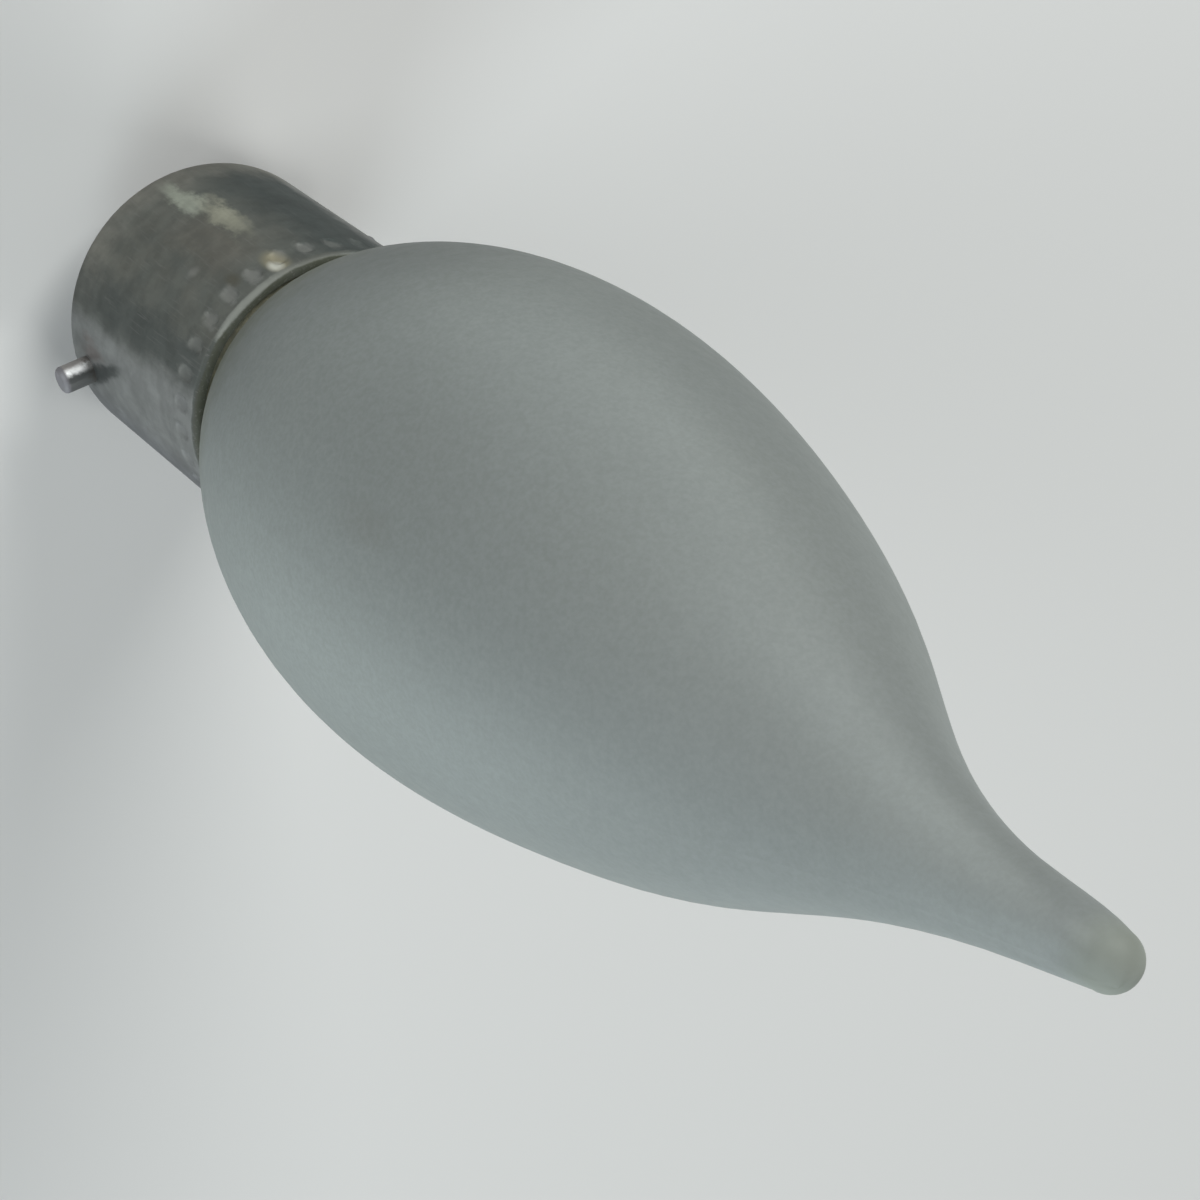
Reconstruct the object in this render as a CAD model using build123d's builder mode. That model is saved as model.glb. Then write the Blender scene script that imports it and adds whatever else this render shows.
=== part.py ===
from build123d import *

import os
from math import cos, radians, sin

# Candle bulb with a two-pin bayonet cap, in millimetres.
# It stands on its contacts: +Z runs from the cap to the drawn-out tip, and the pins lie along X.

# Cap shell, drawn from thin sheet and rolled in at both ends
shell_radius = 11.0
shell_wall = 0.4
shell_length = 22.3
shell_end = 3.0  # height of the rolled end above the contacts' faces
end_bend = 0.8  # inside radius of the roll that holds the insulator
end_lip = 0.7
rim_bend = 0.2  # inside radius of the roll round the glass
rim_lip = 0.2

# Dents pressed in a ring below the rim, which key the cement
dent_count = 32
dent_below_rim = 2.2
dent_length = 1.9
dent_punch_radius = 1.0
dent_depth = 0.2
dent_turn = 4.0  # degrees from the pins' line to the first dent

# Black glass insulator in the cap's end
insulator_depth = 1.9  # how far it reaches into the shell
insulator_face_radius = 7.8
insulator_edge = 0.8

# Bayonet pins, riveted through the shell
pin_radius = 1.05
pin_length = 2.5  # how far each pin stands out of the shell
pin_end_round = 0.4
pin_shank_radius = 0.7
pin_head_radius = 1.3
pin_head_thickness = 0.5
pin_clearance = 0.25  # between the rivet heads and the insulator

# Contacts: oval plates in the insulator's face, soldered over the ends of the lead wires
contact_offset = 4.6
contact_length = 6.2
contact_width = 4.6
contact_thickness = 0.4
contact_proud = 0.2
solder_margin = 0.4  # rim of a plate left bare round its solder
solder_height = 0.5
solder_round = 0.35

# Lead wires from the glass to the contacts
lead_radius = 0.3
lead_hole_radius = 0.8
lead_root = 3.1  # distance of a wire from the axis where it leaves the glass
lead_bend = 1.5
lead_straight = 1.2  # straight run of a wire before each end of its slanted stretch

# Glass neck inside the cap, closed below by a funnel with a sealed exhaust stub
cement_gap = 1.0  # open ring between the neck and the rim
cement_recess = 0.2  # depth of the cement's face below the rim
cement_start = 2.0  # height of the cement above the rounded foot of the neck
neck_gap = 4.5  # from the rivet heads up to the neck's foot
neck_foot_round = 1.2
funnel_depth = 5.5
funnel_radius = 4.2
stub_radius = 2.0
stub_length = 4.0

# Blown outline of the glass: rings, each at its rise over the one before, with the drawn tail's lean
shoulder_rise = 6.0  # over the rim
shoulder_radius = 13.4
flank_rise = 8.0
flank_radius = 16.15
belly_rise = 13.0
belly_radius = 17.5
upper_rise = 18.0
upper_radius = 15.0
taper_rise = 13.0
taper_radius = 10.95
taper_lean = -0.3
throat_rise = 12.0
throat_radius = 5.6
throat_lean = -0.45
tail_rise = 10.0
tail_radius = 2.95
tail_lean = 0.2
bead_rise = 6.5  # to the root of the rounded bead that closes the tail
bead_radius = 2.15
bead_lean = 0.9
tip_rise = 1.75
tip_radius = 1.85
tip_lean = 1.0
lean_direction = 214.0  # degrees from the right-hand pin, seen from the tip

# Places worked out from the sizes above
rim_height = shell_end + shell_length
end_roll = end_bend + shell_wall
rim_roll = rim_bend + shell_wall
shell_inner_radius = shell_radius - shell_wall
end_opening = shell_radius - end_roll - end_lip
rim_opening = shell_radius - rim_roll - rim_lip
insulator_face = solder_height + contact_proud
insulator_top = shell_end + insulator_depth
pin_height = insulator_top + pin_clearance + pin_head_radius
pin_reach = shell_radius + pin_length
neck_radius = rim_opening - cement_gap
neck_foot = pin_height + pin_head_radius + neck_gap
neck_top = rim_height - shell_wall
funnel_top = neck_foot + funnel_depth
stub_end = funnel_top - stub_length
lean_x = cos(radians(lean_direction))
lean_y = sin(radians(lean_direction))

os.makedirs("parts", exist_ok=True)


def write(piece, name):
    piece.part.label = name
    export_step(piece.part, f"parts/{name}.step")


# Cap shell
with BuildPart() as cap_shell:
    with BuildSketch(Plane.XZ):
        with BuildLine():
            FilletPolyline(
                (end_opening, shell_end),
                (shell_radius, shell_end),
                (shell_radius, rim_height),
                (rim_opening, rim_height),
                radius=[end_roll, rim_roll],
            )
            offset(amount=shell_wall, side=Side.LEFT)
        make_face()
    revolve(axis=Axis.Z)
    with Locations((0, 0, rim_height - dent_below_rim)):
        with PolarLocations(
            shell_radius + dent_punch_radius - dent_depth, dent_count, start_angle=dent_turn
        ):
            Cylinder(dent_punch_radius, dent_length, mode=Mode.SUBTRACT)
    with Locations((0, 0, pin_height)):
        Cylinder(pin_shank_radius, 2 * pin_reach, rotation=(0, 90, 0), mode=Mode.SUBTRACT)
write(cap_shell, "cap_shell")

# Bayonet pins: shoulder outside, shank through the wall and rivet head inside
with BuildPart() as bayonet_pin_right:
    with BuildSketch(Plane.XZ):
        with BuildLine():
            Polyline(
                (shell_inner_radius - pin_head_thickness, pin_height),
                (shell_inner_radius - pin_head_thickness, pin_height + pin_head_radius),
                (shell_radius - shell_wall / 2, pin_height + pin_head_radius),
                (shell_radius - shell_wall / 2, pin_height + pin_radius),
                (pin_reach, pin_height + pin_radius),
                (pin_reach, pin_height),
                close=True,
            )
        make_face()
    revolve(axis=Axis((0, 0, pin_height), (1, 0, 0)))
    fillet(bayonet_pin_right.edges().sort_by(Axis.X)[-1], pin_end_round)
    add(cap_shell.part, mode=Mode.SUBTRACT)
write(bayonet_pin_right, "bayonet_pin_right")

with BuildPart() as bayonet_pin_left:
    mirror(bayonet_pin_right.part, about=Plane.YZ)
write(bayonet_pin_left, "bayonet_pin_left")

# Contact plates, each with a hole for its wire
with BuildPart() as contact_plate_front:
    with BuildSketch(Plane.XY.offset(solder_height)):
        with Locations((0, -contact_offset)):
            SlotOverall(contact_length, contact_width)
            Circle(lead_radius, mode=Mode.SUBTRACT)
    extrude(amount=contact_thickness)
write(contact_plate_front, "contact_plate_front")

with BuildPart() as contact_plate_back:
    mirror(contact_plate_front.part, about=Plane.XZ)
write(contact_plate_back, "contact_plate_back")

# Solder on the contacts
with BuildPart() as solder_front:
    with BuildSketch():
        with Locations((0, -contact_offset)):
            SlotOverall(contact_length - 2 * solder_margin, contact_width - 2 * solder_margin)
    extrude(amount=solder_height)
    fillet(solder_front.edges().group_by(Axis.Z)[0], solder_round)
write(solder_front, "solder_front")

with BuildPart() as solder_back:
    mirror(solder_front.part, about=Plane.XZ)
write(solder_back, "solder_back")

# Insulator, cast into the rolled end of the shell round the contact plates
with BuildPart() as cap_insulator:
    with BuildSketch(Plane.XZ):
        with BuildLine():
            FilletPolyline(
                (0, insulator_face),
                (insulator_face_radius, insulator_face),
                (end_opening, shell_end),
                radius=insulator_edge,
            )
            Line((end_opening, shell_end), (end_opening, shell_end + shell_wall))
            FilletPolyline(
                (end_opening, shell_end + shell_wall),
                (shell_inner_radius, shell_end + shell_wall),
                (shell_inner_radius, insulator_top),
                radius=end_bend,
            )
            Polyline(
                (shell_inner_radius, insulator_top),
                (0, insulator_top),
                (0, insulator_face),
            )
        make_face()
    revolve(axis=Axis.Z)
    with Locations((0, -contact_offset, insulator_top), (0, contact_offset, insulator_top)):
        Hole(lead_hole_radius, insulator_top - insulator_face)
    add(contact_plate_front.part, mode=Mode.SUBTRACT)
    add(contact_plate_back.part, mode=Mode.SUBTRACT)
write(cap_insulator, "cap_insulator")

# Lead wires, from the glass funnel down to the solder
with BuildPart() as lead_wire_front:
    with BuildLine() as lead_path:
        FilletPolyline(
            (0, -lead_root, funnel_top),
            (0, -lead_root, neck_foot - lead_straight),
            (0, -contact_offset, insulator_top + lead_straight),
            (0, -contact_offset, solder_height),
            radius=lead_bend,
        )
    with BuildSketch(Plane(lead_path.line @ 0, z_dir=lead_path.line % 0)):
        Circle(lead_radius)
    sweep()
write(lead_wire_front, "lead_wire_front")

with BuildPart() as lead_wire_back:
    mirror(lead_wire_front.part, about=Plane.XZ)
write(lead_wire_back, "lead_wire_back")

# Glass, sealed and frosted: a round neck with its funnel, then the blown body and the bent tail
glass_rings = [(neck_top, neck_radius, 0.0)]
ring_height = rim_height
for rise, radius, lean in [
    (shoulder_rise, shoulder_radius, 0.0),
    (flank_rise, flank_radius, 0.0),
    (belly_rise, belly_radius, 0.0),
    (upper_rise, upper_radius, 0.0),
    (taper_rise, taper_radius, taper_lean),
    (throat_rise, throat_radius, throat_lean),
    (tail_rise, tail_radius, tail_lean),
    (bead_rise, bead_radius, bead_lean),
    (tip_rise, tip_radius, tip_lean),
]:
    ring_height += rise
    glass_rings.append((ring_height, radius, lean))
with BuildPart() as glass_bulb:
    with BuildSketch(Plane.XZ):
        with BuildLine():
            Polyline(
                (0, stub_end),
                (0, neck_top),
                (neck_radius, neck_top),
                (neck_radius, neck_foot + neck_foot_round),
            )
            CenterArc((neck_radius - neck_foot_round, neck_foot + neck_foot_round), neck_foot_round, 0, -180)
            Polyline(
                (neck_radius - 2 * neck_foot_round, neck_foot + neck_foot_round),
                (funnel_radius, funnel_top),
                (stub_radius, funnel_top),
                (stub_radius, stub_end + stub_radius),
            )
            CenterArc((0, stub_end + stub_radius), stub_radius, 0, -90)
        make_face()
    revolve(axis=Axis.Z)
    for height, radius, lean in glass_rings:
        with BuildSketch(Plane.XY.offset(height)):
            with Locations((lean * lean_x, lean * lean_y)):
                Circle(radius)
    loft()
    with Locations((tip_lean * lean_x, tip_lean * lean_y, ring_height)):
        Sphere(tip_radius, arc_size1=0, align=(Align.CENTER, Align.CENTER, Align.MIN))
write(glass_bulb, "glass_bulb")

# Cement between the neck and the shell
with BuildPart() as capping_cement:
    with BuildSketch(Plane.XZ):
        with BuildLine():
            Polyline(
                (neck_radius, neck_foot + neck_foot_round + cement_start),
                (shell_inner_radius, neck_foot + neck_foot_round + cement_start),
                (shell_inner_radius, rim_height - cement_recess),
                (neck_radius, rim_height - cement_recess),
                close=True,
            )
        make_face()
    revolve(axis=Axis.Z)
    add(cap_shell.part, mode=Mode.SUBTRACT)
    add(glass_bulb.part, mode=Mode.SUBTRACT)
write(capping_cement, "capping_cement")
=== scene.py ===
import math

import bpy
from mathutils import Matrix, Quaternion, Vector


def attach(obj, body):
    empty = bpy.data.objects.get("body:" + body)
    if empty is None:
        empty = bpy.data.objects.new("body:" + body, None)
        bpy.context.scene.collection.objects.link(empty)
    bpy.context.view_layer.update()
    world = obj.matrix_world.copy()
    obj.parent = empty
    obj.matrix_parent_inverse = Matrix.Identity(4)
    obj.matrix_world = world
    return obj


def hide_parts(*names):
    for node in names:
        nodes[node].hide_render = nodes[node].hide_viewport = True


MM = 0.001

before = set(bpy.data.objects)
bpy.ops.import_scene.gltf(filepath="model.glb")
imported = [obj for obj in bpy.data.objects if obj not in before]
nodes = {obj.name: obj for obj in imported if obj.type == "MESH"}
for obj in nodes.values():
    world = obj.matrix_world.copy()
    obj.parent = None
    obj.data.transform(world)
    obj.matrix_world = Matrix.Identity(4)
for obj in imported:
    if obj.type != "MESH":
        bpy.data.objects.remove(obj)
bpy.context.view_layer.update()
scene = bpy.context.scene
scene.view_settings.view_transform = "Standard"

# Sizes of the cap, as in the solids, in millimetres
SHELL_RADIUS = 11.0
SHELL_WALL = 0.4
SHELL_END = 3.0
RIM_HEIGHT = 25.3
END_ROLL = 1.2
END_LIP = 0.7
RIM_ROLL = 0.6
RIM_LIP = 0.2
PIN_HEIGHT = 6.45
PIN_REACH = 13.5

# Ring of pressed dents below the rim: places in millimetres, turns in degrees
DENT_COUNT = 32
DENT_HEIGHT = 23.1
DENT_LENGTH = 2.1
DENT_WIDTH = 1.2
DENT_DEPTH = 0.2
DENT_TURN = 4.0
DENT_PITCH = 360.0 / DENT_COUNT
DENT_SPACING = math.radians(DENT_PITCH) * SHELL_RADIUS

# Camera, looking down past the tip: places in metres, lens and sensor in millimetres
CAMERA_PLACE = Vector((82.46, -122.25, 238.98)) * MM
CAMERA_AIM = Vector((-1.04, 1.62, 60.0)) * MM
CAMERA_ROLL = math.radians(126.99)
CAMERA_LENS = 108.88
CAMERA_SENSOR = 36.0
CAMERA_NEAR = 0.01
CAMERA_FAR = 20.0


def photo_camera():
    """A camera that sees the part as the photo does."""
    camera_data = bpy.data.cameras.new("camera")
    camera_data.sensor_width = CAMERA_SENSOR
    camera_data.lens = CAMERA_LENS
    camera_data.clip_start = CAMERA_NEAR
    camera_data.clip_end = CAMERA_FAR
    camera = bpy.data.objects.new("camera", camera_data)
    scene.collection.objects.link(camera)
    camera.location = CAMERA_PLACE
    straight = (CAMERA_AIM - CAMERA_PLACE).to_track_quat("-Z", "Y")
    camera.rotation_mode = "QUATERNION"
    camera.rotation_quaternion = straight @ Quaternion((0, 0, 1), CAMERA_ROLL)
    return camera


class Look:
    """A material whose nodes are added in short steps.

    Places are in millimetres of the part's frame, and turns are in degrees round its axis.
    """

    def __init__(self, name):
        self.material = bpy.data.materials.new(name)
        self.material.use_nodes = True
        self.tree = self.material.node_tree
        self.shader = self.tree.nodes["Principled BSDF"]
        coords = self.node("ShaderNodeTexCoord").outputs["Object"]
        self.place = self.vector("SCALE", coords, scale=1 / MM)
        split = self.node("ShaderNodeSeparateXYZ")
        self.feed(split.inputs[0], self.place)
        self.x, self.y, self.z = split.outputs

    def node(self, kind, **settings):
        """A new node with these settings."""
        made = self.tree.nodes.new(kind)
        for key, value in settings.items():
            setattr(made, key, value)
        return made

    def feed(self, socket, value):
        """Link the socket to another one, or set it to a number or a colour."""
        if isinstance(value, bpy.types.NodeSocket):
            self.tree.links.new(value, socket)
        elif socket.type == "RGBA":
            socket.default_value = (*value, 1.0)
        else:
            socket.default_value = value

    def vector(self, operation, a, b=None, scale=None):
        """One sum on vectors or colours."""
        made = self.node("ShaderNodeVectorMath", operation=operation)
        self.feed(made.inputs[0], a)
        if b is not None:
            self.feed(made.inputs[1], b)
        if scale is not None:
            self.feed(made.inputs["Scale"], scale)
        return made.outputs[0]

    def math(self, operation, a, b=0.0):
        """One sum on numbers."""
        made = self.node("ShaderNodeMath", operation=operation)
        self.feed(made.inputs[0], a)
        self.feed(made.inputs[1], b)
        return made.outputs[0]

    def plus(self, a, b):
        return self.math("ADD", a, b)

    def minus(self, a, b):
        return self.math("SUBTRACT", a, b)

    def times(self, a, b):
        return self.math("MULTIPLY", a, b)

    def larger(self, a, b):
        return self.math("MAXIMUM", a, b)

    def length(self, a, b):
        """Length of a step of a one way and b across it."""
        return self.math("SQRT", self.plus(self.times(a, a), self.times(b, b)))

    def turn(self):
        """Degrees round the part's axis, from -180 to 180, with 0 at the right-hand pin."""
        return self.times(self.math("ARCTAN2", self.y, self.x), math.degrees(1))

    def reach(self):
        """Distance from the part's axis."""
        return self.length(self.x, self.y)

    def step(self, value, low, high, start=0.0, end=1.0):
        """A smooth change from start to end while the value goes from low to high."""
        made = self.node("ShaderNodeMapRange", interpolation_type="SMOOTHSTEP")
        self.feed(made.inputs["Value"], value)
        limits = {"From Min": low, "From Max": high, "To Min": start, "To Max": end}
        for key, number in limits.items():
            made.inputs[key].default_value = number
        return made.outputs["Result"]

    def band(self, value, low, high, soft, top=1.0):
        """top between low and high, and 0 outside them, with edges that are soft wide."""
        rise = self.step(value, low - soft / 2, low + soft / 2, 0.0, top)
        fall = self.step(value, high - soft / 2, high + soft / 2, 1.0, 0.0)
        return self.times(rise, fall)

    def patch(self, along, across, middle, half, soft, top=1.0):
        """top inside an oval of half-sizes half round middle, fading out over soft of them each way."""
        a = self.math("DIVIDE", self.minus(along, middle[0]), half[0])
        b = self.math("DIVIDE", self.minus(across, middle[1]), half[1])
        return self.step(self.length(a, b), 1.0 - soft, 1.0 + soft, top, 0.0)

    def noise(self, size, detail=3.0, roughness=0.5, stretch=(1, 1, 1)):
        """Noise whose grains are about size millimetres, smaller along an axis with more stretch."""
        at = self.vector("MULTIPLY", self.place, tuple(s / size for s in stretch))
        made = self.node("ShaderNodeTexNoise")
        self.feed(made.inputs["Vector"], at)
        made.inputs["Scale"].default_value = 1.0
        made.inputs["Detail"].default_value = detail
        made.inputs["Roughness"].default_value = roughness
        return made.outputs["Fac"]

    def shift(self, value, noise, reach):
        """The value moved by up to about reach either way by the noise."""
        return self.plus(value, self.step(noise, 0.2, 0.8, -reach, reach))

    def mix(self, factor, a, b):
        """The colour a where the factor is 0, and b where it is 1."""
        made = self.node("ShaderNodeMix", data_type="RGBA")
        self.feed(made.inputs["Factor"], factor)
        colours = [s for s in made.inputs if s.type == "RGBA"]
        self.feed(colours[0], a)
        self.feed(colours[1], b)
        return [s for s in made.outputs if s.type == "RGBA"][0]

    def bump(self, height, strength, distance):
        """Fine relief on the finished surface, up to distance millimetres high."""
        made = self.node("ShaderNodeBump")
        self.feed(made.inputs["Height"], height)
        made.inputs["Strength"].default_value = strength
        made.inputs["Distance"].default_value = distance * MM
        self.feed(self.shader.inputs["Normal"], made.outputs["Normal"])

    def set(self, **values):
        """Feed the shader's sockets, named with _ for each space."""
        for key, value in values.items():
            self.feed(self.shader.inputs[key.replace("_", " ")], value)


# Soft ovals of painted light and shade: middle and half-sizes, each as turn and height, and how much
# paler
PAINTED_LIGHT_OVALS = (
    ((-100, 37), (26, 9), -0.3),  # painted shade above the cap's dark side
    ((-65, 30), (30, 7), -0.1),
    ((-132, 60), (16, 24), -0.13),  # painted shade down the far flank
    ((-118, 98), (16, 14), -0.1),
    ((-64, 60), (15, 12), -0.06),  # painted shade on the belly
    ((10, 92), (16, 12), -0.1),  # painted shade under the tail's near side
    ((-15, 48), (24, 12), 0.16),  # painted light round the near flank
    ((-45, 44), (24, 8), 0.06),
    ((-5, 66), (18, 14), 0.13),
    ((-88, 56), (10, 9), 0.06),  # painted sheen from the belly to the throat
    ((-102, 70), (9, 10), 0.1),
    ((-82, 92), (16, 10), 0.06),
    ((-48, 105), (34, 8), 0.19),  # painted light on the drawn tail
    ((-58, 111), (18, 5), 0.08),
    ((-5, 112), (22, 5), -0.04),
    ((-112, 111), (22, 6), -0.03),
    ((-100, 109), (12, 4), -0.08),
    ((-86, 112.6), (9, 1.0), 0.17),  # painted highlight beside the bead
    ((-30, 114), (20, 1.8), -0.3),  # painted shade along the bead's edges
    ((-132, 114.7), (18, 0.8), -0.3),
)

# Colours of the glass
GLASS_LOW = (0.206, 0.23, 0.223)
GLASS_HIGH = (0.247, 0.272, 0.268)
GLASS_CLOUD = (0.214, 0.234, 0.222)
GLASS_GRAIN = (0.288, 0.317, 0.319)
GLASS_SPECK = (0.16, 0.17, 0.165)
GLASS_STAIN_AND_SHADE = (0.105, 0.108, 0.066)
GLASS_CEMENT_STAIN_AND_SHADE = (0.09, 0.09, 0.055)
GLASS_SMUDGE = (0.15, 0.14, 0.115)
GLASS_TIP = (0.265, 0.292, 0.25)


def frosted_glass():
    """Etched glass, unevenly frosted, with painted light and shade in soft ovals, greyer towards the cap
    as painted shade, and a brown edge along the cement that is partly painted shade.
    """
    look = Look("frosted_glass_look")
    turn = look.turn()
    cloud = look.noise(22.0, detail=2.0)
    grain = look.noise(0.35, detail=2.0, roughness=0.6)
    speck = look.noise(1.4, detail=3.0, roughness=0.6)

    # Grey that pales towards the tip as painted light, clouded and grained
    tone = look.mix(look.step(look.z, 28.0, 112.0), GLASS_LOW, GLASS_HIGH)
    tone = look.mix(look.step(cloud, 0.3, 0.7, 0.0, 0.35), tone, GLASS_CLOUD)
    tone = look.mix(look.step(grain, 0.25, 0.75, 0.0, 0.34), tone, GLASS_GRAIN)
    frost_and_painted_light = look.step(look.noise(0.9, detail=4.0, roughness=0.6), 0.3, 0.7, 0.965, 1.005)
    # Painted light and shade in soft ovals, over a random grain of frosting
    for middle, half, change in PAINTED_LIGHT_OVALS:
        frost_and_painted_light = look.plus(look.patch(turn, look.z, middle, half, soft=1.0, top=change), frost_and_painted_light)
    tone = look.vector("SCALE", tone, scale=frost_and_painted_light)
    tone = look.mix(look.step(speck, 0.62, 0.78, 0.0, 0.12), tone, GLASS_SPECK)

    # Brown stain with painted shade towards the cement, a smudge on the belly, and a yellower tip made
    # paler as painted light
    ragged_height = look.shift(look.z, look.noise(2.4, detail=4.0, roughness=0.65), 1.4)
    near_cap = look.step(ragged_height, 29.0, 36.5, 0.45, 0.0)
    tone = look.mix(near_cap, tone, GLASS_STAIN_AND_SHADE)
    at_cement = look.step(ragged_height, 26.0, 31.0, 0.7, 0.0)
    tone = look.mix(at_cement, tone, GLASS_CEMENT_STAIN_AND_SHADE)
    ragged_turn = look.shift(turn, speck, 2.0)
    smudge = look.patch(ragged_turn, look.z, middle=(-39.0, 59.5), half=(4.0, 2.4), soft=0.9, top=0.14)
    tone = look.mix(smudge, tone, GLASS_SMUDGE)
    near_tip = look.step(look.z, 111.0, 114.5, 0.0, 0.6)
    tone = look.mix(near_tip, tone, GLASS_TIP)

    roughness = look.step(speck, 0.2, 0.8, 0.5, 0.6)
    look.set(Base_Color=tone, Roughness=roughness, IOR=1.3, Specular_IOR_Level=0.3)
    look.bump(grain, strength=0.12, distance=0.05)
    return look


class CapLook(Look):
    """The cap's material, with turns and heights that give its marks ragged edges."""

    def __init__(self, name):
        super().__init__(name)
        self.ragged = self.noise(1.3, detail=4.0, roughness=0.65, stretch=(1, 1, 0.5))
        self.angle = self.turn()
        self.ragged_angle = self.shift(self.angle, self.ragged, 3.5)
        self.softly_ragged_angle = self.shift(self.angle, self.ragged, 1.6)
        self.ragged_height = self.shift(self.z, self.ragged, 0.9)

    def ragged_patch(self, middle, half, soft, top=1.0):
        """An oval patch with a ragged edge."""
        return self.patch(self.ragged_angle, self.ragged_height, middle, half, soft, top)

    def smooth_patch(self, middle, half, soft, top=1.0):
        """An oval patch with a smooth edge."""
        return self.patch(self.angle, self.z, middle, half, soft, top)


# Colours of the cap's tarnish, and of its painted reflections
TARNISH = (0.155, 0.166, 0.152)
TARNISH_BLOT = (0.17, 0.174, 0.155)
BLUE_BLACK_REFLECTION = (0.086, 0.103, 0.101)
PALE_EDGE_REFLECTION = (0.3, 0.31, 0.3)
BROWN_END = (0.28, 0.276, 0.245)
BROWN_MIDDLE = (0.19, 0.178, 0.152)
DARK_MIDDLE_REFLECTION = (0.1, 0.111, 0.107)


def tarnish_and_reflections(look, blot):
    """Tarnish, browner at the closed end, with a painted blue-black reflection round one side, a painted
    dark reflection in the middle and a painted pale reflection along the far edge.
    """
    tone = look.mix(look.step(blot, 0.3, 0.7), TARNISH, TARNISH_BLOT)
    dark_reflection_side = look.step(look.ragged_angle, -112.0, -84.0, 0.9, 0.0)
    tone = look.mix(dark_reflection_side, tone, BLUE_BLACK_REFLECTION)
    reflection_edge = look.band(look.ragged_angle, -148.0, -131.0, soft=8.0, top=0.75)
    tone = look.mix(reflection_edge, tone, PALE_EDGE_REFLECTION)
    end = look.band(look.ragged_angle, -140.0, -24.0, soft=20.0)
    end = look.times(end, look.step(look.ragged_height, 4.0, 8.5, 0.75, 0.0))
    tone = look.mix(end, tone, BROWN_END)
    middle = look.patch(look.ragged_angle, look.z, (-75, 16.5), half=(9, 5.0), soft=0.7, top=0.6)
    tone = look.mix(middle, tone, BROWN_MIDDLE)
    dark_reflection_middle = look.band(look.ragged_angle, -41.0, -22.0, soft=13.0, top=0.85)
    dark_reflection_middle = look.times(dark_reflection_middle, look.step(look.ragged_height, 7.0, 13.0, 0.75, 1.0))
    return look.mix(dark_reflection_middle, tone, DARK_MIDDLE_REFLECTION)


# Colours of the cap's painted pale reflection round one side
PALE_SIDE_REFLECTION = (0.286, 0.298, 0.296)
PALE_SIDE_REFLECTION_FURTHER = (0.18, 0.188, 0.2)
HIDDEN_SIDE = (0.093, 0.11, 0.106)


def painted_pale_side(look, tone):
    """A painted pale reflection round the right-hand pin, darker again out of sight."""
    pale_reflection = look.mix(look.step(look.angle, 0.0, 26.0), PALE_SIDE_REFLECTION, PALE_SIDE_REFLECTION_FURTHER)
    pale_reflection = look.mix(look.step(look.angle, 60.0, 130.0), pale_reflection, HIDDEN_SIDE)
    reflection_edge = look.plus(look.softly_ragged_angle, look.step(look.z, 15.0, 19.5, 0.0, 3.0))
    return look.mix(look.step(reflection_edge, -27.0, -16.5), tone, pale_reflection)


# Painted shadow and reflection of the right-hand pin on the shell: a slanting wedge, its edges' slopes in
# degrees for each millimetre
PIN_SHADOW_TOP = 12.0
PIN_SHADOW_LEFT_TURN = -11.2
PIN_SHADOW_LEFT_SLOPE = 1.6
PIN_SHADOW_RIGHT_TURN = -7.2
PIN_SHADOW_RIGHT_SLOPE = 2.65
PIN_SHADOW_FOOT = 1.5
PIN_SHADOW_COLOUR = (0.105, 0.115, 0.114)
RUST_COLOUR = (0.2, 0.155, 0.147)


def pin_shadow_and_rust(look, tone):
    """A painted shadow and reflection of the right-hand pin, and a rusty mark beside it."""
    down = look.minus(PIN_SHADOW_TOP, look.z)
    left = look.minus(look.softly_ragged_angle, PIN_SHADOW_LEFT_TURN)
    left = look.minus(left, look.times(down, PIN_SHADOW_LEFT_SLOPE))
    right = look.minus(look.softly_ragged_angle, PIN_SHADOW_RIGHT_TURN)
    right = look.minus(look.times(down, PIN_SHADOW_RIGHT_SLOPE), right)
    pin_shadow = look.times(look.step(left, -1.4, 1.2), look.step(right, -1.4, 1.2))
    pin_shadow = look.times(pin_shadow, look.step(look.ragged_height, 11.7, 13.7, 0.96, 0.0))
    pin_shadow = look.times(pin_shadow, look.step(look.z, PIN_HEIGHT - PIN_SHADOW_FOOT, PIN_HEIGHT))
    tone = look.mix(pin_shadow, tone, PIN_SHADOW_COLOUR)
    rust = look.ragged_patch(middle=(-9.5, 7.8), half=(4.5, 1.6), soft=0.6, top=0.5)
    return look.mix(rust, tone, RUST_COLOUR)


# Colours of the painted highlight streak, and of a pale rub
HIGHLIGHT_STREAK_YELLOW = (0.43, 0.43, 0.345)
HIGHLIGHT_STREAK_GREEN = (0.43, 0.46, 0.39)
PALE_RUB = (0.31, 0.31, 0.295)


def highlight_streak(look, tone):
    """A painted highlight streak in two runs, and a small pale rub."""
    upper = look.ragged_patch(middle=(-87.6, 13.9), half=(4.4, 3.3), soft=0.6, top=0.9)
    neck = look.patch(look.ragged_angle, look.z, (-86.5, 11.0), half=(1.6, 1.6), soft=0.8, top=0.8)
    tone = look.mix(look.larger(upper, neck), tone, HIGHLIGHT_STREAK_YELLOW)
    lower = look.ragged_patch(middle=(-84.0, 8.2), half=(4.4, 2.8), soft=0.6, top=0.95)
    tone = look.mix(lower, tone, HIGHLIGHT_STREAK_GREEN)
    rub_and_glint = look.smooth_patch(middle=(-62.0, 17.6), half=(2.4, 0.5), soft=0.6, top=0.4)
    return look.mix(rub_and_glint, tone, PALE_RUB)


# Colours of the dents, their wear and painted glints, painted shade and highlight, and the spot beside
# them
DENT_WEAR_AND_GLINT = (0.26, 0.267, 0.253)
DENT_SHADE = (0.17, 0.176, 0.176)
DENT_HIGHLIGHT_HALO = (0.37, 0.34, 0.235)
DENT_HIGHLIGHT = (0.72, 0.72, 0.64)
BROWN_SPOT = (0.12, 0.105, 0.07)


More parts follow.
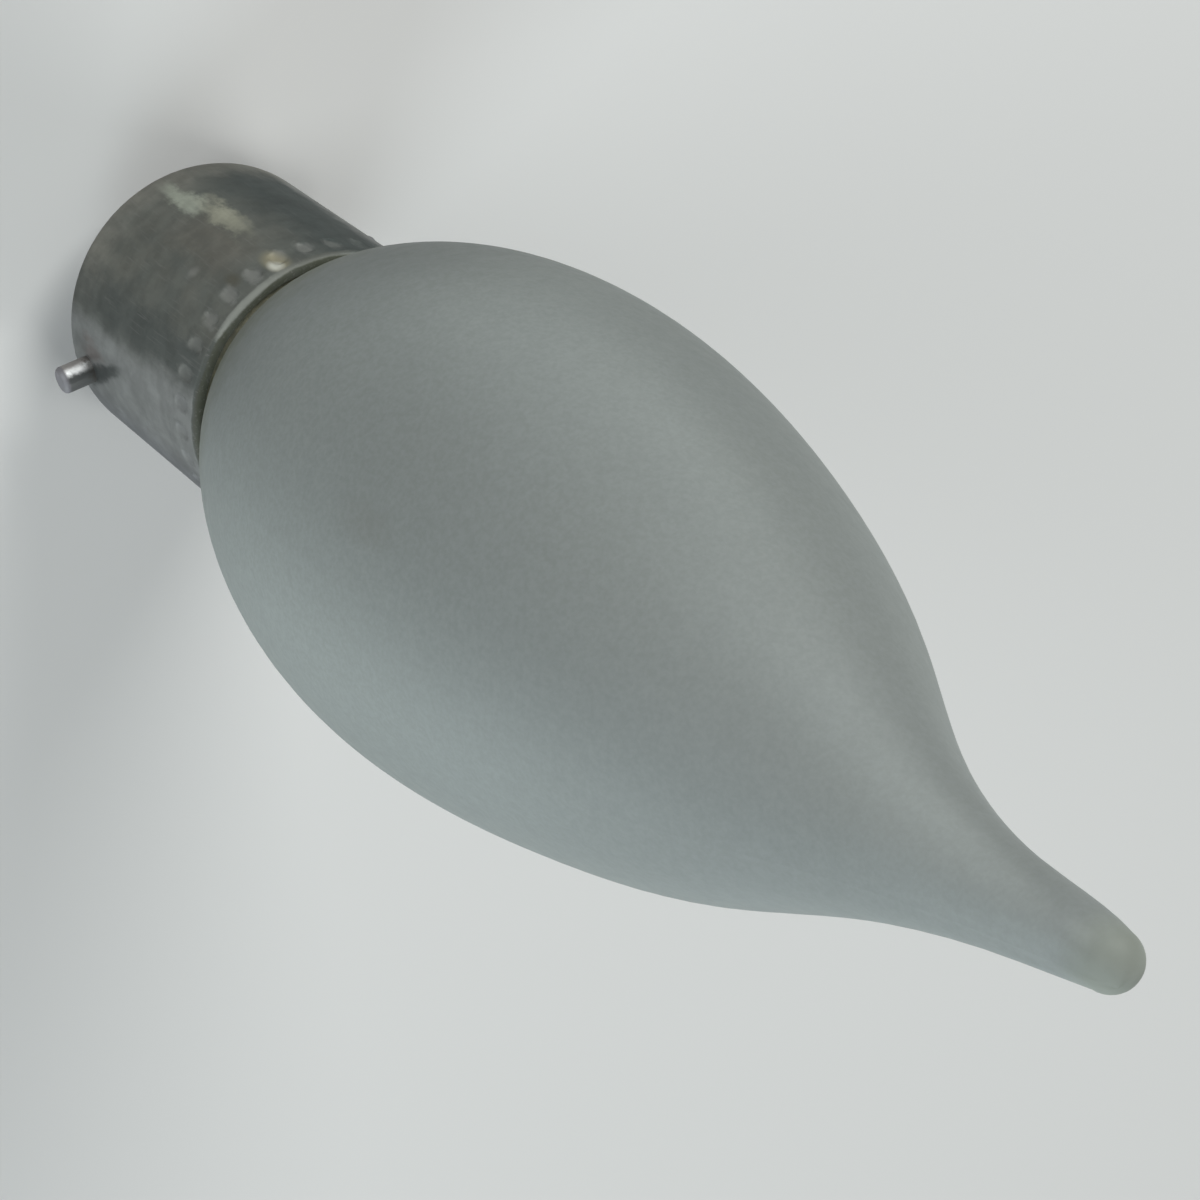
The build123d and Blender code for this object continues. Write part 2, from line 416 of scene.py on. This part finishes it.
def dent_wear_and_glints(look, tone):
    """Dents paler with wear and painted glints, one with a painted highlight, and a brown spot: the
    colour and the hollows.
    """
    along = look.math("DIVIDE", look.minus(look.angle, DENT_TURN), DENT_PITCH)
    number = look.math("ROUND", along)
    across = look.times(look.minus(along, number), DENT_SPACING)
    across = look.shift(across, look.ragged, 0.2)
    half = (DENT_WIDTH / 2, DENT_LENGTH / 2)
    hollow = look.patch(across, look.ragged_height, (0.0, DENT_HEIGHT), half, soft=0.4)

    # Each dent paler by chance with wear and painted glint, least at the far edge, and darkened with
    # painted shade on the pale side
    chance = look.node("ShaderNodeTexWhiteNoise", noise_dimensions="1D")
    look.feed(chance.inputs["W"], number)
    wear_and_glint = look.times(hollow, look.step(chance.outputs["Value"], 0.0, 1.0, 0.35, 0.9))
    wear_and_glint = look.times(wear_and_glint, look.step(look.angle, -26.0, -18.0, 1.0, 0.0))
    wear_and_glint = look.times(wear_and_glint, look.step(look.angle, -118.0, -112.0, 0.15, 1.0))
    tone = look.mix(wear_and_glint, tone, DENT_WEAR_AND_GLINT)
    dent_shade = look.times(hollow, look.step(look.angle, -26.0, -18.0, 0.0, 0.5))
    tone = look.mix(dent_shade, tone, DENT_SHADE)

    # Painted highlight on one dent, and a brown spot
    highlight_halo = look.smooth_patch(middle=(-84.5, 23.3), half=(4.0, 1.6), soft=0.5, top=0.8)
    tone = look.mix(highlight_halo, tone, DENT_HIGHLIGHT_HALO)
    dent_highlight = look.smooth_patch(middle=(-83.0, 23.9), half=(2.4, 0.8), soft=0.6)
    tone = look.mix(dent_highlight, tone, DENT_HIGHLIGHT)
    brown = look.smooth_patch(middle=(-68.5, 22.1), half=(2.2, 0.9), soft=0.8, top=0.5)
    return look.mix(brown, tone, BROWN_SPOT), hollow


# Colours of the rim: painted highlight, stains, and grime with painted shade
RIM_HIGHLIGHT_DIM = (0.085, 0.09, 0.08)
RIM_HIGHLIGHT = (0.235, 0.25, 0.228)
RIM_STAIN = (0.066, 0.074, 0.067)
RIM_BROWN = (0.046, 0.048, 0.034)
RIM_GRIME_AND_SHADE = (0.06, 0.066, 0.048)


def rim_stain_and_highlight(look, tone):
    """The rim, with a painted highlight on one side, brown on another and grime with painted shade
    inside: the colour and how matt it is.
    """
    # Way up over the roll: -RIM_ROLL at the wall, 0 in its middle and RIM_ROLL on its top
    over = look.minus(look.minus(look.z, look.reach()), RIM_HEIGHT - SHELL_RADIUS)
    over = look.shift(over, look.ragged, 0.1)

    # Painted highlight on one side of the roll
    roll = look.step(over, -RIM_ROLL, -0.35)
    wear_and_glint = look.times(roll, look.band(look.ragged_angle, -114.0, -48.0, soft=16.0, top=0.85))
    rub_and_glint = look.mix(look.step(look.angle, -98.0, -66.0), RIM_HIGHLIGHT_DIM, RIM_HIGHLIGHT)
    tone = look.mix(wear_and_glint, tone, rub_and_glint)

    # Stained side, browner higher up
    stained = look.band(look.ragged_angle, -48.0, 14.0, soft=10.0, top=0.92)
    stained = look.times(stained, look.step(over, -0.55, -0.3))
    higher = look.minus(over, look.step(look.angle, -42.0, -12.0, 0.35, 0.0))
    stain = look.mix(look.step(higher, -0.45, -0.05), RIM_STAIN, RIM_BROWN)
    tone = look.mix(stained, tone, stain)

    # Grime and painted shade towards the glass, which starts higher where the painted highlight is widest
    wide = look.band(look.angle, -78.0, -54.0, soft=16.0, top=0.22)
    inner = look.step(look.minus(over, wide), -0.05, 0.2, 0.0, 0.95)
    tone = look.mix(inner, tone, RIM_GRIME_AND_SHADE)
    matt = look.larger(look.times(wear_and_glint, 0.8), look.larger(stained, inner))
    return tone, matt


# Colours of the cap's fine lines, and of its reflections
DRAWN_LINE = (0.13, 0.14, 0.134)
SCRATCH_LINE = (0.3, 0.3, 0.29)
CAP_GLINT = (0.4, 0.4, 0.4)


def cap_metal():
    """Dull drawn metal: dark tarnish with painted dark reflections, a painted pale reflection on one
    side, a painted highlight streak, a painted pin shadow, and wear with painted highlights on the rim
    and dents.
    """
    look = CapLook("cap_metal_look")
    blot = look.noise(4.5, detail=4.0, roughness=0.6)
    mottle = look.noise(1.7, detail=4.0, roughness=0.6)
    drawn = look.noise(1.1, detail=3.0, roughness=0.6, stretch=(1, 1, 0.12))
    scratch = look.noise(0.16, detail=2.0, roughness=0.5, stretch=(1, 1, 0.06))

    tone = tarnish_and_reflections(look, blot)
    tone = painted_pale_side(look, tone)
    tone = pin_shadow_and_rust(look, tone)
    tone = highlight_streak(look, tone)
    tone = look.vector("SCALE", tone, scale=look.step(mottle, 0.3, 0.7, 0.86, 1.12))
    tone, hollow = dent_wear_and_glints(look, tone)
    tone, matt = rim_stain_and_highlight(look, tone)
    tone = look.mix(look.step(drawn, 0.3, 0.7, 0.0, 0.22), tone, DRAWN_LINE)
    tone = look.mix(look.step(scratch, 0.58, 0.75, 0.0, 0.2), tone, SCRATCH_LINE)

    roughness = look.larger(look.step(blot, 0.3, 0.7, 0.38, 0.5), look.times(matt, 0.8))
    roughness = look.larger(roughness, look.times(hollow, 0.62))
    metallic = look.step(matt, 0.0, 1.0, 0.8, 0.1)
    look.set(Base_Color=tone, Metallic=metallic, Roughness=roughness, Specular_Tint=CAP_GLINT)
    look.bump(look.plus(drawn, look.times(scratch, 0.4)), strength=0.1, distance=0.06)
    return look


# Colours of the cement
CEMENT_DARK = (0.14, 0.145, 0.105)
CEMENT_PALE = (0.25, 0.235, 0.16)
CEMENT_SOOT = (0.095, 0.1, 0.078)


def capping_cement():
    """Brittle brown cement, lumpy and sooty."""
    look = Look("cement_look")
    lump = look.noise(0.9, detail=4.0, roughness=0.65)
    soot = look.noise(3.5, detail=2.0)
    tone = look.mix(look.step(lump, 0.3, 0.7), CEMENT_DARK, CEMENT_PALE)
    tone = look.mix(look.step(soot, 0.4, 0.65, 0.0, 0.5), tone, CEMENT_SOOT)
    look.set(Base_Color=tone, Roughness=0.9)
    look.bump(lump, strength=0.6, distance=0.3)
    return look


# Colours of the pins, with painted shade underneath and on one side
PIN_GREY = (0.58, 0.6, 0.61)
PIN_RUBBED = (0.7, 0.71, 0.71)
PIN_SHADED_UNDER = (0.27, 0.25, 0.24)
PIN_SHADED_SIDE = (0.12, 0.127, 0.127)
PIN_END = (0.18, 0.18, 0.195)
PIN_ROOT = (0.09, 0.085, 0.075)
PIN_FLECK = (0.15, 0.145, 0.14)


def pin_metal():
    """Turned pins, rubbed along their sides, with painted shade underneath and on one side, and grimy at
    their roots.
    """
    look = Look("pin_metal_look")
    rub_and_glint = look.noise(0.5, detail=3.0, roughness=0.6, stretch=(0.15, 1, 1))
    fleck = look.noise(0.3, detail=3.0, roughness=0.6)
    reach = look.math("ABSOLUTE", look.x)
    tone = look.mix(look.step(rub_and_glint, 0.3, 0.7), PIN_GREY, PIN_RUBBED)
    # Painted shade underneath the pin and along its +y side
    height = look.shift(look.z, fleck, 0.1)
    shaded_under = look.step(height, PIN_HEIGHT + 0.25, PIN_HEIGHT + 0.65, 0.85, 0.0)
    tone = look.mix(shaded_under, tone, PIN_SHADED_UNDER)
    shaded_side = look.step(look.shift(look.y, fleck, 0.1), -0.7, -0.35)
    tone = look.mix(shaded_side, tone, PIN_SHADED_SIDE)
    end = look.step(reach, PIN_REACH - 0.55, PIN_REACH - 0.3, 0.0, 0.9)
    tone = look.mix(end, tone, PIN_END)
    root = look.step(look.shift(reach, fleck, 0.3), SHELL_RADIUS, SHELL_RADIUS + 0.8, 0.7, 0.0)
    tone = look.mix(root, tone, PIN_ROOT)
    tone = look.mix(look.step(fleck, 0.62, 0.75, 0.0, 0.3), tone, PIN_FLECK)
    roughness = look.larger(look.step(fleck, 0.3, 0.7, 0.5, 0.6), look.times(end, 0.75))
    look.set(Base_Color=tone, Metallic=look.step(end, 0.0, 1.0, 0.9, 0.4), Roughness=roughness)
    look.bump(rub_and_glint, strength=0.15, distance=0.05)
    return look


# Colours of the insulator
BLACK_GLASS = (0.012, 0.012, 0.015)
DUSTY_GLASS = (0.045, 0.042, 0.04)
PIT_DUST = (0.1, 0.095, 0.085)


def black_glass():
    """Black cast glass with small pits and dust in them."""
    look = Look("insulator_look")
    pit = look.noise(0.5, detail=4.0, roughness=0.6)
    dust = look.noise(5.0, detail=4.0, roughness=0.65)
    tone = look.mix(look.step(dust, 0.45, 0.75), BLACK_GLASS, DUSTY_GLASS)
    tone = look.mix(look.step(pit, 0.62, 0.74, 0.0, 0.6), tone, PIT_DUST)
    look.set(Base_Color=tone, Roughness=look.step(dust, 0.3, 0.8, 0.16, 0.45), IOR=1.55)
    look.bump(pit, strength=0.2, distance=0.08)
    return look


# Colours of the contact plates
BRASS = (0.42, 0.31, 0.14)
BRASS_TARNISH = (0.23, 0.16, 0.08)
BRASS_SCORE = (0.55, 0.43, 0.22)


def contact_brass():
    """Stamped brass, tarnished in blotches and scored by the holder's plungers."""
    look = Look("contact_metal_look")
    blot = look.noise(1.3, detail=4.0, roughness=0.65)
    score = look.noise(0.22, detail=2.0, roughness=0.5, stretch=(0.08, 1, 1))
    tone = look.mix(look.step(blot, 0.35, 0.7), BRASS, BRASS_TARNISH)
    tone = look.mix(look.step(score, 0.6, 0.75, 0.0, 0.6), tone, BRASS_SCORE)
    look.set(Base_Color=tone, Metallic=0.95, Roughness=look.step(blot, 0.3, 0.7, 0.3, 0.5))
    look.bump(score, strength=0.15, distance=0.05)
    return look


# Colours of the solder
SOLDER_DARK = (0.34, 0.34, 0.345)
SOLDER_PALE = (0.48, 0.48, 0.48)
SOLDER_SCUFF = (0.6, 0.6, 0.6)
SOLDER_FLUX = (0.16, 0.12, 0.07)


def soft_solder():
    """Dull solder with a rippled skin, pressed flat and scuffed, and brown flux round it."""
    look = Look("solder_look")
    ripple = look.noise(0.9, detail=3.0, roughness=0.5)
    scuff = look.noise(0.25, detail=3.0, roughness=0.6, stretch=(0.2, 1, 1))
    tone = look.mix(look.step(ripple, 0.3, 0.7), SOLDER_DARK, SOLDER_PALE)
    tone = look.mix(look.step(scuff, 0.6, 0.75, 0.0, 0.6), tone, SOLDER_SCUFF)
    flux = look.step(look.shift(look.z, ripple, 0.15), 0.25, 0.5, 0.0, 0.7)
    tone = look.mix(flux, tone, SOLDER_FLUX)
    look.set(Base_Color=tone, Metallic=0.85, Roughness=look.step(ripple, 0.3, 0.7, 0.35, 0.55))
    look.bump(ripple, strength=0.3, distance=0.1)
    return look


# Colours of the lead wires
COPPER = (0.45, 0.22, 0.13)
COPPER_DARK = (0.16, 0.09, 0.07)


def copper_wire():
    """Copper-clad lead wire, darkened unevenly by heat."""
    look = Look("wire_look")
    heat = look.noise(2.0, detail=3.0, roughness=0.6)
    tone = look.mix(look.step(heat, 0.35, 0.7), COPPER, COPPER_DARK)
    look.set(Base_Color=tone, Metallic=0.95, Roughness=look.step(heat, 0.3, 0.7, 0.3, 0.5))
    return look


# Mesh of the drawn shell: columns for each dent, rows up its wall, steps round its rolls
DENT_COLUMNS = 16
DENT_ROWS = 22
DENT_MARGIN = 0.7  # dents' lengths from their middle down to where their rows start
PLAIN_ROWS = 8
END_STEPS = 8
END_INNER_STEPS = 6
RIM_STEPS = 7
RIM_INNER_STEPS = 4
DENT_CORNER = 2.5  # 2 would make the dents oval, and more makes their corners squarer
DENT_BRIM = 0.7  # less than 1 makes the dents flatter inside and steeper at their edges
SHARP_ANGLE = 50.0


def arc(middle, radius, start, end, steps):
    """Points along an arc, as distances from the axis and heights; the turns are in degrees."""
    turns = [math.radians(start + (end - start) * i / steps) for i in range(steps + 1)]
    return [(middle[0] + radius * math.cos(t), middle[1] + radius * math.sin(t)) for t in turns]


def rows(radius, low, high, count):
    """Points up an upright wall, without its two ends."""
    return [(radius, low + (high - low) * i / (count + 1)) for i in range(1, count + 1)]


def shell_section():
    """The shell's closed section, up its outside and down its inside."""
    end_middle = (SHELL_RADIUS - END_ROLL, SHELL_END + END_ROLL)
    rim_middle = (SHELL_RADIUS - RIM_ROLL, RIM_HEIGHT - RIM_ROLL)
    end_opening = SHELL_RADIUS - END_ROLL - END_LIP
    rim_opening = SHELL_RADIUS - RIM_ROLL - RIM_LIP
    dents_start = DENT_HEIGHT - DENT_MARGIN * DENT_LENGTH
    outside = [(end_opening, SHELL_END)]
    outside += arc(end_middle, END_ROLL, -90, 0, END_STEPS)
    outside += rows(SHELL_RADIUS, end_middle[1], dents_start, PLAIN_ROWS)
    outside += rows(SHELL_RADIUS, dents_start, rim_middle[1], DENT_ROWS)
    outside += arc(rim_middle, RIM_ROLL, 0, 90, RIM_STEPS)
    outside += [(rim_opening, RIM_HEIGHT)]
    inside = [(rim_opening, RIM_HEIGHT - SHELL_WALL)]
    inside += arc(rim_middle, RIM_ROLL - SHELL_WALL, 90, 0, RIM_INNER_STEPS)
    inside += arc(end_middle, END_ROLL - SHELL_WALL, 0, -90, END_INNER_STEPS)
    inside += [(end_opening, SHELL_END + SHELL_WALL)]
    return outside, inside


def dent_at(turn, height):
    """Depth of the dents at a turn in degrees and a height: a flat-bottomed hollow with soft edges."""
    along = (turn - DENT_TURN) / DENT_PITCH
    across = (along - round(along)) * DENT_SPACING / (DENT_WIDTH / 2)
    up = (height - DENT_HEIGHT) / (DENT_LENGTH / 2)
    reach = abs(across) ** DENT_CORNER + abs(up) ** DENT_CORNER
    return DENT_DEPTH * max(0.0, 1.0 - reach) ** DENT_BRIM


def drawn_shell():
    """The shell as a closed mesh, revolved from its section, with the dents pressed into its outside."""
    outside, inside = shell_section()
    columns = DENT_COUNT * DENT_COLUMNS
    section = [(r, z, True) for r, z in outside] + [(r, z, False) for r, z in inside]
    points = []
    for column in range(columns):
        turn = 360.0 * column / columns
        direction = Vector((math.cos(math.radians(turn)), math.sin(math.radians(turn)), 0))
        for radius, height, dented in section:
            depth = dent_at(turn, height) if dented else 0.0
            points.append((direction * (radius - depth) + Vector((0, 0, height))) * MM)
    count = len(section)
    faces = []
    for column in range(columns):
        here = column * count
        there = (column + 1) % columns * count
        for i in range(count):
            j = (i + 1) % count
            faces.append((here + i, there + i, there + j, here + j))
    mesh = bpy.data.meshes.new("drawn_shell")
    mesh.from_pydata(points, [], faces)
    mesh.shade_smooth()
    mesh.set_sharp_from_angle(angle=math.radians(SHARP_ANGLE))
    piece = bpy.data.objects.new("drawn_shell", mesh)
    scene.collection.objects.link(piece)
    return piece


# Floor and room: colours, the floor's half-width in metres, and where it fades, in millimetres
FLOOR_REACH = 4.0
FLOOR_FADE = (180.0, 480.0)
FLOOR_BOUNCE = (0.18, 0.18, 0.18)
FLOOR_COLOUR = (0.66, 0.67, 0.67)
ROOM_COLOUR = (0.63, 0.635, 0.635)
ROOM_BOUNCE = 0.125  # share of the room's brightness that lights the part

# Soft lamps: name, azimuth and elevation in degrees, distance and size in metres, power, colour
LAMPS = (
    ("side_lamp", 40, 12, 0.6, 0.35, 2.6, (0.9, 0.98, 1.0)),
    ("back_lamp", 236, 24, 0.6, 0.35, 3.1, (1.0, 1.0, 0.97)),
    ("front_lamp", 334, 16, 0.7, 0.5, 2.4, (0.98, 1.0, 1.0)),
    ("tip_lamp", 125, 50, 0.6, 0.35, 1.3, (1.0, 1.0, 0.97)),
)
LAMP_AIM = Vector((0, 0, 60)) * MM


def seen_rays(tree):
    """1 for rays that show a surface to the eye, direct, mirrored or through glass, and 0 for others."""
    path = tree.nodes.new("ShaderNodeLightPath")
    seen = path.outputs["Is Camera Ray"]
    for name in ("Is Glossy Ray", "Is Transmission Ray"):
        either = tree.nodes.new("ShaderNodeMath")
        either.operation = "MAXIMUM"
        tree.links.new(seen, either.inputs[0])
        tree.links.new(path.outputs[name], either.inputs[1])
        seen = either.outputs[0]
    return seen


def pale_floor():
    """A floor pale to the eye, a quieter source of bounced light, and as pale as the room further out."""
    corners = [(-1, -1, 0), (1, -1, 0), (1, 1, 0), (-1, 1, 0)]
    points = [tuple(FLOOR_REACH * c for c in corner) for corner in corners]
    mesh = bpy.data.meshes.new("floor")
    mesh.from_pydata(points, [], [(0, 1, 2, 3)])
    look = Look("floor_look")
    seen = seen_rays(look.tree)
    colour = look.mix(seen, FLOOR_BOUNCE, FLOOR_COLOUR)
    look.set(Base_Color=colour, Roughness=0.9, Specular_IOR_Level=0.1)
    glow = look.node("ShaderNodeEmission")
    look.feed(glow.inputs["Color"], ROOM_COLOUR)
    fade = look.node("ShaderNodeMixShader")
    look.feed(fade.inputs[0], look.times(seen, look.step(look.reach(), *FLOOR_FADE)))
    look.feed(fade.inputs[1], look.shader.outputs[0])
    look.feed(fade.inputs[2], glow.outputs[0])
    look.feed(look.tree.nodes["Material Output"].inputs["Surface"], fade.outputs[0])
    mesh.materials.append(look.material)
    piece = bpy.data.objects.new("floor", mesh)
    scene.collection.objects.link(piece)
    return piece


def soft_lamp(name, azimuth, elevation, distance, size, power, tint):
    """A round lamp that looks at the middle of the part."""
    lamp_data = bpy.data.lights.new(name, "AREA")
    lamp_data.shape = "DISK"
    lamp_data.size = size
    lamp_data.energy = power
    lamp_data.color = tint
    lamp = bpy.data.objects.new(name, lamp_data)
    scene.collection.objects.link(lamp)
    round_axis = math.radians(azimuth)
    upward = math.radians(elevation)
    away = Vector((
        math.cos(upward) * math.cos(round_axis),
        math.cos(upward) * math.sin(round_axis),
        math.sin(upward),
    ))
    lamp.location = LAMP_AIM + away * distance
    lamp.rotation_mode = "QUATERNION"
    lamp.rotation_quaternion = away.to_track_quat("Z", "Y")


def pale_room():
    """A room that is pale to the eye and lights the part less than it shows."""
    world = bpy.data.worlds.new("room")
    world.use_nodes = True
    tree = world.node_tree
    backdrop = tree.nodes["Background"]
    backdrop.inputs["Color"].default_value = (*ROOM_COLOUR, 1.0)
    level = tree.nodes.new("ShaderNodeMapRange")
    level.inputs["To Min"].default_value = ROOM_BOUNCE
    tree.links.new(seen_rays(tree), level.inputs["Value"])
    tree.links.new(level.outputs["Result"], backdrop.inputs["Strength"])
    return world


# The scene, made from the pieces above
scene.camera = photo_camera()

metal = cap_metal()
pin = pin_metal()
brass = contact_brass()
solder = soft_solder()
wire = copper_wire()
LOOKS = {
    "glass_bulb": frosted_glass(),
    "cap_shell": metal,
    "capping_cement": capping_cement(),
    "bayonet_pin_right": pin,
    "bayonet_pin_left": pin,
    "cap_insulator": black_glass(),
    "contact_plate_front": brass,
    "contact_plate_back": brass,
    "solder_front": solder,
    "solder_back": solder,
    "lead_wire_front": wire,
    "lead_wire_back": wire,
}
for name, look in LOOKS.items():
    nodes[name].material_slots[0].material = look.material

shell = drawn_shell()
shell.data.materials.append(metal.material)
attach(shell, "root")
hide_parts("cap_shell")

floor = pale_floor()
for lamp in LAMPS:
    soft_lamp(*lamp)
scene.world = pale_room()
